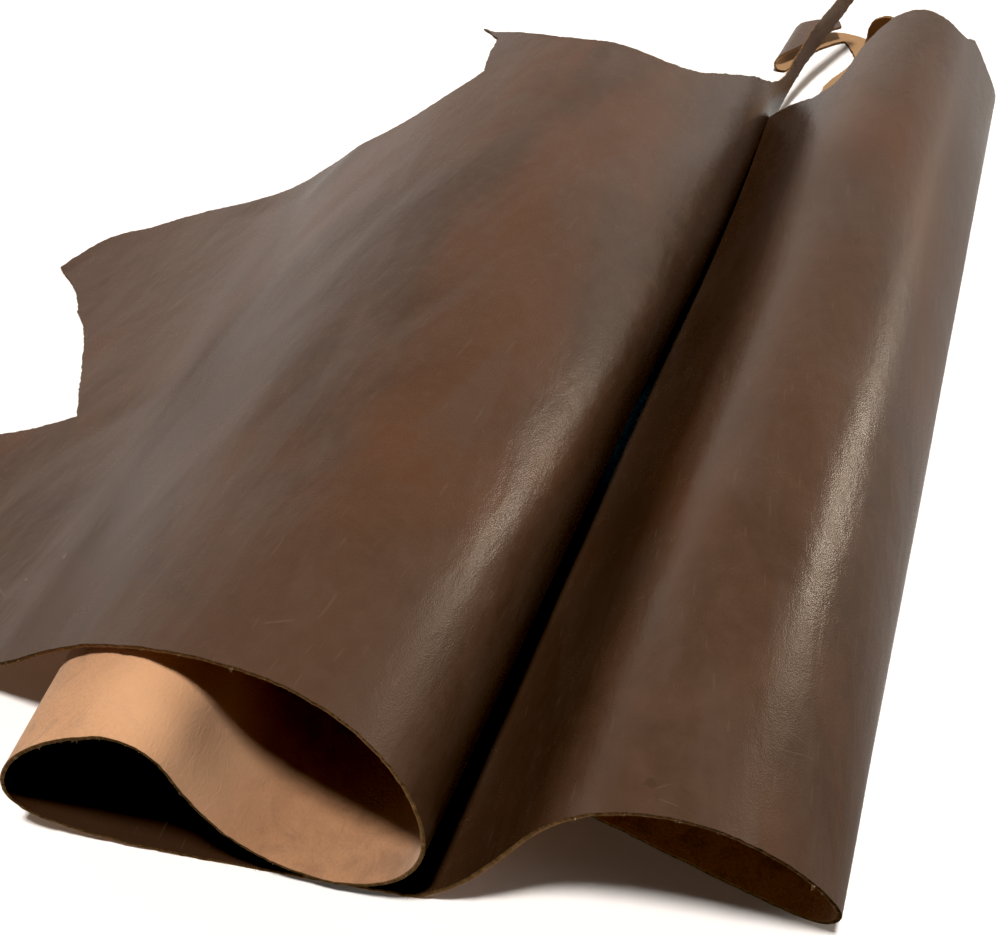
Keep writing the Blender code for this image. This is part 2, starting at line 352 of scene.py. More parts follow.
SCRATCHES = (
    Scratch(0.216, 0.012, 0.232, 0.008, 0.0006),
    Scratch(0.214, 0.018, 0.226, 0.024, 0.0005),
    Scratch(0.285, 0.070, 0.330, 0.082, 0.0005),
    Scratch(0.290, 0.090, 0.322, 0.086, 0.0004),
    Scratch(-0.918, 0.036, -0.895, 0.050, 0.0011),
    Scratch(-1.250, 0.075, -1.225, 0.062, 0.0008),
    Scratch(-1.235, 0.060, -1.210, 0.068, 0.0006),
)

LEVEL_ENDS = (
    End(-1.50, -0.95, -1.40),       # neck
    End(0.60, 0.38, 0.46),          # last layer
)

LAMPS = (
    Lamp("overhead", LampKind.SUN, 3.9, -162.0, 80.0, 3.0, 8.0, (0.0, 0.0),
         (1.0, 0.985, 0.965)),
    Lamp("side", LampKind.SUN, 0.60, 105.0, 12.0, 3.0, 14.0, (0.0, 0.0),
         (1.0, 1.0, 1.0)),
    Lamp("fill", LampKind.SUN, 0.30, -148.0, 4.0, 3.0, 25.0, (0.0, 0.0),
         (1.0, 0.94, 0.80)),
    Lamp("key", LampKind.AREA, 50.0, 67.0, 19.0, 6.0, 0.0, (0.3, 0.4),
         (1.0, 0.87, 0.68)),
)


class Link:
    """One output of a finish's nodes, used like a number in a sum."""

    def __init__(self, bench: "Bench", socket: bpy.types.NodeSocket) -> None:
        """Keep the bench and the socket."""
        self.bench = bench
        self.socket = socket

    def _sum(self, operation: str, first: Any, second: Any) -> "Link":
        """Add one Math node for an operation on two values."""
        return self.bench.add("Math", {"operation": operation},
                              {0: first, 1: second})

    def __add__(self, other: Any) -> "Link":
        """This and another, added."""
        return self._sum("ADD", self, other)

    __radd__ = __add__

    def __sub__(self, other: Any) -> "Link":
        """This less another."""
        return self._sum("SUBTRACT", self, other)

    def __rsub__(self, other: Any) -> "Link":
        """Another less this."""
        return self._sum("SUBTRACT", other, self)

    def __mul__(self, other: Any) -> "Link":
        """This times another."""
        return self._sum("MULTIPLY", self, other)

    __rmul__ = __mul__

    def most(self, other: Any) -> "Link":
        """The larger of this and another."""
        return self._sum("MAXIMUM", self, other)

    def least(self, other: Any) -> "Link":
        """The smaller of this and another."""
        return self._sum("MINIMUM", self, other)


class Bench:
    """Lays out the nodes of one finish, or of the surroundings."""

    def __init__(self, owner: bpy.types.Material | bpy.types.World) -> None:
        """Start with no nodes.

        Args:
            owner: what the nodes belong to.
        """
        owner.use_nodes = True
        self.owner = owner
        self.tree = owner.node_tree
        self.tree.nodes.clear()
        self.places: dict[Pair, Link] = {}
        self.clouds: dict[Cloud, Link] = {}

    @classmethod
    def named(cls, name: str) -> "Bench":
        """Start an empty finish of a name."""
        return cls(bpy.data.materials.new(name))

    def add(self, kind: str, settings: dict[str, Any] | None = None,
            sockets: dict[Any, Any] | None = None,
            out: Any = 0) -> Link | None:
        """Add a node.

        Args:
            kind: the node's type, without "ShaderNode".
            settings: what is set on the node itself.
            sockets: the value or link of each input, by index or name.
            out: the output that is wanted, or None for an end node.

        Returns:
            The output, as a link, or None.
        """
        node = self.tree.nodes.new("ShaderNode" + kind)
        for name, value in (settings or {}).items():
            setattr(node, name, value)
        for key, value in (sockets or {}).items():
            if isinstance(value, Link):
                self.tree.links.new(value.socket, node.inputs[key])
            else:
                node.inputs[key].default_value = value
        return None if out is None else Link(self, node.outputs[out])

    def flat(self, stretch: float = 1.0, turn: float = 0.0) -> Link:
        """Places on the flat skin, in metres.

        Args:
            stretch: less than 1 draws the pattern out across the skin.
            turn: degrees that the pattern is turned.

        Returns:
            A vector link.
        """
        if (stretch, turn) not in self.places:
            place = self.add("UVMap", {"uv_map": "skin"})
            self.places[stretch, turn] = self.add(
                "Mapping", {"vector_type": "POINT"},
                {"Vector": place, "Scale": (1.0, stretch, 1.0),
                 "Rotation": (0.0, 0.0, math.radians(turn))})
        return self.places[stretch, turn]

    def part(self, place: Link, axis: str) -> Link:
        """One number of a vector: "X", "Y" or "Z"."""
        return self.add("SeparateXYZ", None, {0: place}, axis)

    def cloud(self, pattern: Cloud) -> Link:
        """A cloudy field from 0 to 1.

        Args:
            pattern: what it is like.

        Returns:
            The field, laid out once for each pattern.
        """
        if pattern not in self.clouds:
            self.clouds[pattern] = self.add(
                "TexNoise", {"noise_dimensions": "2D"},
                {"Vector": self.flat(pattern.stretch, pattern.turn),
                 "Scale": pattern.scale, "Detail": pattern.detail,
                 "Roughness": pattern.rough, "Distortion": pattern.warp})
        return self.clouds[pattern]

    def pores(self, place: Link, scale: float) -> Link:
        """Distance to the nearest of many scattered points."""
        return self.add("TexVoronoi",
                        {"feature": "F1", "voronoi_dimensions": "2D"},
                        {"Vector": place, "Scale": scale}, "Distance")

    def mixed(self, row: Layer | Relief) -> Link:
        """The pattern of a row.

        Args:
            row: what is laid on or raised.

        Returns:
            One cloudy field, or two mixed.
        """
        first = self.cloud(row.first)
        if row.second is None:
            return first
        return first * (1.0 - row.mix) + self.cloud(row.second) * row.mix

    def step(self, value: Link, low: float, high: float) -> Link:
        """A smooth step from 0 at `low` to 1 at `high`."""
        return self.add("MapRange",
                        {"interpolation_type": "SMOOTHSTEP"},
                        {"Value": value, "From Min": low, "From Max": high})

    def within(self, value: Link, rise: Pair,
               fall: Pair) -> Link:
        """1 between two smooth steps, up and down, and 0 beyond them."""
        return self.step(value, *rise) * (1.0 - self.step(value, *fall))

    def blend(self, share: Any, first: Any, second: Any) -> Link:
        """A colour between two."""
        return self.add("Mix",
                        {"data_type": "RGBA", "clamp_factor": True},
                        {0: share, 6: first, 7: second}, 2)

    def laid(self, colour: Colour | Link, layers: Sequence[Layer]) -> Link:
        """A colour with layers on it, in their order.

        Args:
            colour: what lies under them.
            layers: the layers.

        Returns:
            The colour.
        """
        for row in layers:
            share = self.step(self.mixed(row), row.low, row.high)
            if row.share < 1.0:
                share = share * row.share
            colour = self.blend(share, colour, row.colour)
        return colour

    def measure(self, operation: str, first: Link, second: Vector) -> Link:
        """One number from two vectors: "DISTANCE" or "DOT_PRODUCT"."""
        return self.add("VectorMath", {"operation": operation},
                        {0: first, 1: second}, "Value")

    def away(self, spot: Mark | Patch) -> Link:
        """How far each point of the flat skin is from a spot."""
        return self.measure("DISTANCE", self.flat(),
                            Vector((spot.along, spot.across, 0.0)))

    def near(self, patch: Patch) -> Link:
        """A soft patch, 1 to a quarter of its radius and 0 beyond it."""
        return 1.0 - self.step(self.away(patch), 0.25 * patch.radius,
                               patch.radius)

    def field(self, name: str) -> Link:
        """A number stored on the skin's points."""
        return self.add("Attribute", {"attribute_name": name}, None,
                        "Fac")

    def bump(self, height: Link, depth: float, strength: float = 1.0,
             under: Link | None = None) -> Link:
        """Raise the surface by a field.

        Args:
            height: the field.
            depth: metres that 1 stands for.
            strength: share of the effect.
            under: a normal to start from.

        Returns:
            The normal.
        """
        sockets = {"Height": height, "Distance": depth, "Strength": strength}
        if under is not None:
            sockets["Normal"] = under
        return self.add("Bump", None, sockets)

    def raised(self, reliefs: Sequence[Relief]) -> Link | None:
        """The normal of a surface with reliefs on it, in their order.

        Args:
            reliefs: the reliefs.

        Returns:
            The normal.
        """
        normal = None
        for row in reliefs:
            normal = self.bump(self.mixed(row), row.depth, row.strength,
                               normal)
        return normal

    def finish(self, constants: dict[str, Any],
               links: dict[str, Link]) -> bpy.types.Material:
        """Close the finish with its shader.

        Args:
            constants: plain values of the shader's own inputs.
            links: fields that vary over the surface.

        Returns:
            The material.
        """
        shader = self.add("BsdfPrincipled", None,
                          {**constants, **links})
        self.add("OutputMaterial", None, {"Surface": shader}, None)
        return self.owner


@dataclass(frozen=True)
class WaxedGrain:
    """Waxed brown grain, lighter and warmer where the skin is bent."""

    deep: Colour = (0.045, 0.0198, 0.0092, 1.0)
    plain: Colour = (0.063, 0.0270, 0.0124, 1.0)
    warm: Colour = (0.088, 0.0310, 0.0108, 1.0)
    pulled: Colour = (0.095, 0.052, 0.029, 1.0)
    scar: Colour = (0.160, 0.100, 0.062, 1.0)
    # dark: colour of the painted shade in the valleys and of the painted
    # shadow under the second hairpin
    dark: Colour = (0.030, 0.0125, 0.0056, 1.0)
    bloom: Colour = (0.074, 0.042, 0.027, 1.0)
    middle: Cloud = Cloud(11.0, 4.0, 0.6, 0.8)
    fine: Cloud = Cloud(70.0, 4.0, 0.65)
    grit: Cloud = Cloud(430.0, 2.0, 0.8)
    broad_layers: tuple[Layer, ...] = (
        Layer(plain, 0.36, 0.62, 1.0, Cloud(3.2, 3.0, 0.5, 0.6, 0.35, 8.0),
              middle, 0.4),
        Layer(warm, 0.48, 0.70, 0.65, Cloud(5.0, 3.0, 0.55, 0.4, 0.35, 8.0)))
    pull_shares: Pair = (0.12, 0.30)
    fine_layers: tuple[Layer, ...] = (
        Layer(bloom, 0.46, 0.66, 0.40, Cloud(20.0, 3.0, 0.55, 0.5, 0.30, 4.0)),
        Layer(pulled, 0.35, 0.75, 0.14, fine),
        Layer(scar, 0.62, 0.82, 0.10, Cloud(620.0, 2.0, 0.6)))
    # painted shade on the roll's left flank and the first hairpin's right
    # wall, which face into the valley
    painted_shade_bands: tuple[Band, ...] = (Band(0.000, 0.190, 0.16, 0.62),
                                    Band(-0.800, -0.600, -0.087, 0.36))
    band_rise: float = 0.04
    band_fall: float = 0.07
    # painted shadow of the second hairpin on the front of the bottom layer
    shadow_strip_rise: Pair = (-0.34, -0.28)
    shadow_strip_fall: Pair = (-0.06, 0.00)
    shadow_strip_back: Pair = (0.05, 0.12)
    shadow_strip_share: float = 0.95
    drag: Cloud = Cloud(260.0, 1.0, 0.4, 0.0, 0.10, 35.0)
    drag_band: Pair = (0.74, 0.80)
    drag_share: float = 0.12
    scratch_share: float = 0.22
    scratch_taper: float = 0.3
    ragged: Cloud = Cloud(260.0, 3.0, 0.6)
    mark_fray: float = 1.2
    mark_core: float = 0.5
    mark_share: float = 0.8
    reliefs: tuple[Relief, ...] = (
        Relief(0.0024, 0.55, Cloud(16.0, 3.0, 0.5, 0.3, 0.35, 8.0)),
        Relief(0.0009, 0.50, Cloud(42.0, 4.0, 0.55, 0.4, 0.45, -6.0)),
        Relief(0.00035, 0.35, Cloud(150.0, 4.0, 0.6, 0.3, 0.22, 6.0)))
    pebbles: float = 900.0
    pebble_drawn: Pair = (0.8, 20.0)
    pebble_shares: Pair = (0.4, 0.6)
    pebble_relief: Pair = (0.00036, 0.48)
    gloss: float = 0.115
    uneven: tuple[float, float, float] = (0.10, 0.07, 0.10)

    def material(self) -> bpy.types.Material:
        """Make the finish.

        Returns:
            The material.
        """
        bench = Bench.named("waxed_grain")
        middle, grit = bench.cloud(self.middle), bench.cloud(self.grit)
        colour = bench.laid(self.deep, self.broad_layers)
        least, more = self.pull_shares
        colour = bench.blend(bench.field("pull") * (least + more * middle),
                             colour, self.pulled)
        colour = bench.laid(colour, self.fine_layers)
        colour = self.darkened(bench, colour)
        colour = bench.blend(self.scratches(bench), colour, self.scar)
        colour = self.marked(bench, colour)
        pebble = bench.pores(bench.flat(*self.pebble_drawn), self.pebbles)
        normal = bench.bump(pebble * self.pebble_shares[0]
                            + grit * self.pebble_shares[1],
                            *self.pebble_relief, bench.raised(self.reliefs))
        rough = self.gloss
        for share, pattern in zip(self.uneven,
                                  (middle, bench.cloud(self.fine), grit)):
            rough = rough + share * pattern
        for spot in DULL:
            rough = rough + spot.more * bench.near(spot)
        return bench.finish(
            {"Metallic": 0.0, "Specular IOR Level": 0.29, "IOR": 1.48},
            {"Base Color": colour, "Roughness": rough, "Normal": normal})

    def darkened(self, bench: Bench, colour: Link) -> Link:
        """The colour, with painted shade in the valleys and painted shadow
        under the second hairpin.

        Args:
            bench: where the nodes go.
            colour: the colour so far.

        Returns:
            The colour with its dark bands.
        """
        along = bench.part(bench.flat(), "X")
        across = bench.part(bench.flat(), "Y")
        # painted shade along each valley band
        for band in self.painted_shade_bands:
            inside = bench.within(along - band.slant * across,
                                  (band.start, band.start + self.band_rise),
                                  (band.end - self.band_fall, band.end))
            colour = bench.blend(inside * band.share, colour, self.dark)
        # painted shadow of the second hairpin on the bottom layer
        painted_shadow = (bench.within(along, self.shadow_strip_rise, self.shadow_strip_fall)
                  * (1.0 - bench.step(across, *self.shadow_strip_back)))
        return bench.blend(painted_shadow * self.shadow_strip_share, colour, self.dark)

    def scratches(self, bench: Bench) -> Link:
        """A mask of fine lines, few and faint, and of those in the table.

        Args:
            bench: where the nodes go.

        Returns:
            The mask.
        """
        total = (bench.step(bench.cloud(self.drag), *self.drag_band)
                 * self.drag_share)
        for line in SCRATCHES:
            start = Vector((line.along, line.across, 0.0))
            way = Vector((line.to_along, line.to_across, 0.0)) - start
            length = way.length
            way /= length
            off = bench.add("VectorMath", {"operation": "SUBTRACT"},
                            {0: bench.flat(), 1: start})
            run = bench.measure("DOT_PRODUCT", off, way)
            side = bench.measure("DOT_PRODUCT", off,
                                 Vector((-way.y, way.x, 0.0)))
            near = 1.0 - bench.step(side * side, 0.0, line.width ** 2)
            taper = length * self.scratch_taper
            inside = bench.within(run, (0.0, taper), (length - taper, length))
            total = total + near * inside * self.scratch_share
        return total.least(1.0)

    def marked(self, bench: Bench, colour: Link) -> Link:
        """The colour with its few dark and light spots.

        Args:
            bench: where the nodes go.
            colour: the colour so far.

        Returns:
            The colour with the spots on it.
        """
        ragged = bench.cloud(self.ragged)
        for mark in MARKS:
            away = (bench.away(mark)
                    + (ragged - 0.5) * mark.radius * self.mark_fray)
            spot = 1.0 - bench.step(away, mark.radius * self.mark_core,
                                    mark.radius)
            tint = self.deep if mark.tone < 0.0 else self.scar
            colour = bench.blend(spot * abs(mark.tone) * self.mark_share,
                                 colour, tint)
        return colour


@dataclass(frozen=True)
class NappedFlesh:
    """The tan suede of the flesh side, mottled where the nap lies over."""

    pale: Colour = (0.560, 0.295, 0.150, 1.0)
    plain: Colour = (0.470, 0.235, 0.115, 1.0)
    # brown: the flesh's darker mottling, and also the colour of its painted
    # shade
    brown: Colour = (0.240, 0.115, 0.055, 1.0)
    grey: Colour = (0.270, 0.190, 0.140, 1.0)
    # light: the pale hairs of the nap, and also the colour of the painted
    # light
    light: Colour = (0.620, 0.335, 0.175, 1.0)
    # shank: colour of the painted shade on the flesh past the belly line
    shank: Colour = (0.255, 0.140, 0.055, 1.0)
    sheen: Colour = (0.95, 0.80, 0.65, 1.0)
    broad: Cloud = Cloud(7.0, 4.0, 0.6, 0.5)
    middle: Cloud = Cloud(45.0, 5.0, 0.7, 0.4)
    fine: Cloud = Cloud(420.0, 3.0, 0.7)
    hair: Cloud = Cloud(900.0, 2.0, 0.6, 0.0, 0.25, 30.0)
    layers: tuple[Layer, ...] = (
        Layer(pale, 0.35, 0.65, 1.0, broad),
        Layer(brown, 0.48, 0.70, 0.35, middle),
        Layer(grey, 0.50, 0.62, 0.42, broad, middle, 0.6),
        Layer(brown, 0.48, 0.72, 0.45, fine),
        Layer(light, 0.52, 0.72, 0.45, hair))
    # painted shade: a mottled darker patch on the second layer's flesh, deeper
    # towards the first hairpin
    painted_shade_patch: Patch = Patch(-0.60, 0.08, 0.28, 0.72)
    painted_shade_shares: Pair = (0.6, 0.8)
    # painted light: a brighter patch on the lit flesh of the second layer
    painted_light_patch: Patch = Patch(-0.47, 0.05, 0.11, 0.80)
    # painted shade: the flesh beyond the belly line, in the shank hairpin and
    # flaps, is darker
    shank_band: Pair = (0.95, 1.12)
    shank_share: float = 0.85
    reliefs: tuple[Relief, ...] = (Relief(0.0016, 0.35, middle),
                                   Relief(0.0011, 0.6, fine, hair, 0.4))

    def material(self) -> bpy.types.Material:
        """Make the finish.

        Returns:
            The material.
        """
        bench = Bench.named("napped_flesh")
        colour = bench.laid(self.plain, self.layers)
        # painted shade on the second layer's flesh, mottled by the middle
        # pattern
        least, more = self.painted_shade_shares
        colour = bench.blend(bench.near(self.painted_shade_patch) * self.painted_shade_patch.more
                             * (least + more * bench.cloud(self.middle)),
                             colour, self.brown)
        # painted light on the second layer's flesh
        colour = bench.blend(bench.near(self.painted_light_patch) * self.painted_light_patch.more,
                             colour, self.light)
        # painted shade on the flesh past the belly line
        shank = bench.step(bench.part(bench.flat(), "Y"), *self.shank_band)
        colour = bench.blend(shank * self.shank_share, colour, self.shank)
        return bench.finish(
            {"Metallic": 0.0, "Specular IOR Level": 0.25,
             "Sheen Weight": 0.25, "Sheen Roughness": 0.55,
             "Sheen Tint": self.sheen},
            {"Base Color": colour,
             "Roughness": 0.90 + 0.08 * bench.cloud(self.fine),
             "Normal": bench.raised(self.reliefs)})


@dataclass(frozen=True)
class CutEdge:
    """The fibrous cut through the skin, dark under the grain."""

    fibre: Colour = (0.225, 0.120, 0.044, 1.0)
    dark: Colour = (0.095, 0.048, 0.018, 1.0)
    pale: Colour = (0.440, 0.275, 0.130, 1.0)
    inner: Colour = (0.360, 0.185, 0.075, 1.0)
    coarse: Cloud = Cloud(190.0, 4.0, 0.7)
    fine: Cloud = Cloud(900.0, 3.0, 0.7)
    layers: tuple[Layer, ...] = (Layer(fibre, 0.35, 0.70, 1.0, coarse),
                                 Layer(pale, 0.52, 0.75, 0.45, fine))
    grain_band: Pair = (0.80, 0.95)
    grain_share: float = 0.55
    flesh_band: Pair = (0.10, 0.45)
    flesh_share: float = 0.60
    reliefs: tuple[Relief, ...] = (Relief(0.0014, 0.8, coarse, fine, 0.4),)

    def material(self) -> bpy.types.Material:
        """Make the finish.

        Returns:
            The material.
        """
        bench = Bench.named("cut_edge")
        depth = bench.field("depth")
        colour = bench.laid(self.dark, self.layers)
        colour = bench.blend(bench.step(depth, *self.grain_band)
                             * self.grain_share, colour, self.dark)
        colour = bench.blend((1.0 - bench.step(depth, *self.flesh_band))
                             * self.flesh_share, colour, self.inner)
        return bench.finish({"Metallic": 0.0, "Specular IOR Level": 0.1},
                            {"Base Color": colour,
                             "Roughness": 0.86 + 0.1 * bench.cloud(self.fine),
                             "Normal": bench.raised(self.reliefs)})


@dataclass(frozen=True)
class LooseFibre:
    """Tan fibres, each its own shade."""

    dark: Colour = (0.150, 0.085, 0.045, 1.0)
    pale: Colour = (0.520, 0.350, 0.190, 1.0)

    def material(self) -> bpy.types.Material:
        """Make the finish.

        Returns:
            The material.
        """
        bench = Bench.named("loose_fibre")
        colour = bench.blend(bench.field("shade"), self.dark, self.pale)
        return bench.finish({"Metallic": 0.0, "Roughness": 0.85,
                             "Specular IOR Level": 0.3},
                            {"Base Color": colour})


@dataclass(frozen=True)
class PaleFloor:
    """A plain white floor."""

    white: Colour = (0.86, 0.82, 0.79, 1.0)

    def material(self) -> bpy.types.Material:
        """Make the finish."""
        return Bench.named("pale_floor").finish(
            {"Base Color": self.white, "Roughness": 0.9,
             "Specular IOR Level": 0.1}, {})


@dataclass(frozen=True)
class PaleBackdrop:
    """A plain white wall, evenly lit."""

    black: Colour = (0.0, 0.0, 0.0, 1.0)
    white: Colour = (1.0, 0.99, 0.98, 1.0)
    strength: float = 1.02

    def material(self) -> bpy.types.Material:
        """Make the finish."""
        return Bench.named("pale_backdrop").finish(
            {"Base Color": self.black, "Roughness": 1.0,
             "Specular IOR Level": 0.0, "Emission Color": self.white,
             "Emission Strength": self.strength}, {})


def placed(name: str, shape: bmesh.types.BMesh,
           *finishes: Any) -> bpy.types.Object:
    """Put a shape into the scene.

    Args:
        name: the object's name.
        shape: its mesh, which is used up.
        finishes: one for each material slot.

    Returns:
        The object.
    """
    mesh = bpy.data.meshes.new(name)
    shape.to_mesh(mesh)
    shape.free()
    for finish in finishes:
        mesh.materials.append(finish.material())
    piece = bpy.data.objects.new(name, mesh)
    bpy.context.scene.collection.objects.link(piece)
    return piece


def cut_along(mesh: bmesh.types.BMesh, parts: list[Any],
              point: Sequence[float], normal: Sequence[float]) -> None:
    """Cut some parts of a mesh along a plane, and keep both sides."""
    bmesh.ops.bisect_plane(mesh, geom=parts, dist=1e-6, plane_co=point,
                           plane_no=normal)


def unmet(piece: bpy.types.Object, *rays: str) -> None:
    """Let rays of some kinds pass through an object."""
    for ray in rays:
        setattr(piece, "visible_" + ray, False)


def even_slopes(at: np.ndarray, values: np.ndarray) -> np.ndarray:
    """Slopes at the held rulings that never overshoot between two of them.

    Args:
        at: where the values are held.
        values: the values.

    Returns:
        One slope for each value.
    """
    step = np.diff(at)
    rise = np.diff(values) / step
    slope = np.zeros(len(at))
    for i in range(1, len(at) - 1):
        if rise[i - 1] * rise[i] > 0.0:
            near = 2.0 * step[i] + step[i - 1]
            far = step[i] + 2.0 * step[i - 1]
            slope[i] = (near + far) / (near / rise[i - 1] + far / rise[i])
    return slope


def smooth(at: Sequence[float], values: Sequence[float],
           where: np.ndarray) -> np.ndarray:
    """A smooth monotone curve through held values.

    Args:
        at: where the values are held.
        values: the values.
        where: where the curve is read.

    Returns:
        The curve there.
    """
    at = np.asarray(at, float)
    values = np.asarray(values, float)
    where = np.clip(where, at[0], at[-1])
    slope = even_slopes(at, values)
    i = np.clip(np.searchsorted(at, where, side="right") - 1, 0, len(at) - 2)
    step = at[i + 1] - at[i]
    t = (where - at[i]) / step
    return (values[i] * (1 + 2 * t) * (1 - t) ** 2
            + values[i + 1] * t * t * (3 - 2 * t)
            + step * t * (1 - t) * (slope[i] * (1 - t) - slope[i + 1] * t))


def turned(axis_x: float, axis_y: float, angle: float) -> np.ndarray:
    """Rotation by an angle about a line lying in the sheet.

    Args:
        axis_x: the line's direction along the sheet.
        axis_y: the line's direction across it.
        angle: radians.

    Returns:
        The matrix.
    """
    k = np.array(((0.0, 0.0, axis_y), (0.0, 0.0, -axis_x),
                  (-axis_y, axis_x, 0.0)))
    return np.eye(3) + math.sin(angle) * k + (1 - math.cos(angle)) * (k @ k)


@dataclass
class Drape:
    """Carries points of the flat skin to where they lie when it is folded."""

    thickness: float = 0.0032
    origin: Pair = (-0.0312, -0.6481)
    heading: float = -11.2
    step: float = 0.002
    halvings: int = 32
    along: np.ndarray = field(init=False)
    turn: np.ndarray = field(init=False)
    lean: np.ndarray = field(init=False)
    base: np.ndarray = field(init=False)
    frame: np.ndarray = field(init=False)
    ends: list[tuple[float, float, np.ndarray, float]] = field(
        init=False, default_factory=list)

    def __post_init__(self) -> None:
        """Carry the frame along the backbone cut, both ways from the rest."""
        at = [fold.at for fold in FOLDS]
        before = int(round(-at[0] / self.step))
        after = int(round(at[-1] / self.step))
        self.along = np.arange(-before, after + 1) * self.step
        self.turn = np.radians(smooth(at, [fold.turn for fold in FOLDS],
                                      self.along))
        self.lean = np.radians(smooth(at, [fold.lean for fold in FOLDS],
                                      self.along))
        count = len(self.along)
        self.base = np.zeros((count, 3))
        self.frame = np.zeros((count, 3, 3))
        c = math.cos(math.radians(self.heading))
        s = math.sin(math.radians(self.heading))
        self.base[before] = (*self.origin, self.thickness / 2)
        self.frame[before] = ((c, -s, 0.0), (s, c, 0.0), (0.0, 0.0, 1.0))
        for way in (1, -1):
            i = before
            while 0 <= i + way < count:
                self.carry(i, i + way)
                i += way
        self.level_ends()

    def carry(self, i: int, j: int) -> None:
        """Step the frame from ruling i to its neighbour j.

        Args:
            i: the ruling whose frame is known.
            j: its neighbour.
        """
        lean = 0.5 * (self.lean[i] + self.lean[j])
        half = turned(math.sin(lean), math.cos(lean),
                      0.5 * (self.turn[i] - self.turn[j]))
        middle = self.frame[i] @ half
        self.base[j] = (self.base[i]
                        + (self.along[j] - self.along[i]) * middle[:, 0])
        self.frame[j] = middle @ half

    def level_ends(self) -> None:
        """The plane each end came to, to be let down on the surface."""
        for end in LEVEL_ENDS:
            index = int(np.argmin(np.abs(self.along - end.station)))
            normal = self.frame[index][:, 2]
            foot = self.base[index]
            slope = -normal[:2] / normal[2]
            height = foot[2] - self.thickness / 2 - slope @ foot[:2]
            self.ends.append((end.start, end.full, slope, height))

    def station(self, flat: np.ndarray) -> np.ndarray:
        """Where the ruling through each flat point meets the backbone cut.

        Args:
            flat: rows of places along the cut and across from it.

        Returns:
            One station for each point.
        """
        along, across = flat.T
        low = np.full(len(along), self.along[0])
        high = np.full(len(along), self.along[-1])
        for _ in range(self.halvings):
            middle = 0.5 * (low + high)
            lean = np.interp(middle, self.along, self.lean)
            short = middle + across * np.tan(lean) < along
            low = np.where(short, middle, low)
            high = np.where(short, high, middle)
        return 0.5 * (low + high)

    def place(self, flat: np.ndarray, lift: np.ndarray) -> np.ndarray:
        """The folded places of points of the flat skin.

        Args:
            flat: rows of places along the backbone cut and across from it.
            lift: heights over the middle of the skin, grain side up.

        Returns:
            One row for each point.
        """
        foot, beyond, lift = self.bent(flat, lift)
        station = self.station(foot)
        i = ((station - self.along[0]) / self.step).astype(int)
        i = np.clip(i, 0, len(self.along) - 2)
        t = ((station - self.along[i]) / self.step)[:, None]
        flat = foot + beyond
        sides = []
        for j in (i, i + 1):
            local = np.stack((flat[:, 0] - self.along[j], flat[:, 1], lift), 1)
            sides.append(self.base[j]
                         + np.einsum("nij,nj->ni", self.frame[j], local))
        point = (1 - t) * sides[0] + t * sides[1]
        for start, full, slope, height in self.ends:
            share = np.clip((station - start) / (full - start), 0.0, 1.0)
            share = share * share * (3 - 2 * share)
            point[:, 2] -= share * (height + point[:, :2] @ slope)
        return point

    def bent(self, flat: np.ndarray, lift: np.ndarray
             ) -> tuple[np.ndarray, np.ndarray, np.ndarray]:
        """Bend the flaps.

        Args:
            flat: rows of places along the backbone cut and across from it.
            lift: heights over the middle of the skin.

        Returns:
            The nearest unbent point, the way on from it, and the height.
        """
        beyond = np.zeros_like(flat)
        foot = flat.copy()
        lift = lift.copy()
        for bend in BENDS:
            bearing = math.radians(bend.bearing)
            line = np.array((math.cos(bearing), math.sin(bearing)))
            aside = np.array((-line[1], line[0]))
            offset = flat - (bend.along, bend.across)
            out = offset @ aside
            held = (out > 0.0) & (np.abs(offset @ line) < bend.reach)
            way = 1.0 if bend.towards_grain else -1.0
            full = math.radians(bend.turn)
            angle = np.minimum(out / bend.radius, full)
            rest = out - angle * bend.radius
            inner = bend.radius - way * lift
            ahead = inner * np.sin(angle) + rest * np.cos(angle)
            height = (bend.radius - inner * np.cos(angle)
                      + rest * np.sin(angle))
            foot[held] = (flat - out[:, None] * aside)[held]
            beyond[held] = (ahead[:, None] * aside)[held]
            lift[held] = (way * height)[held]
        return foot, beyond, lift

    def bending(self, flat: np.ndarray) -> np.ndarray:
        """How sharply the skin bends at each flat point, in 1/m."""
        sharp = np.abs(np.gradient(self.turn, self.along))
        return np.interp(self.station(flat), self.along, sharp)


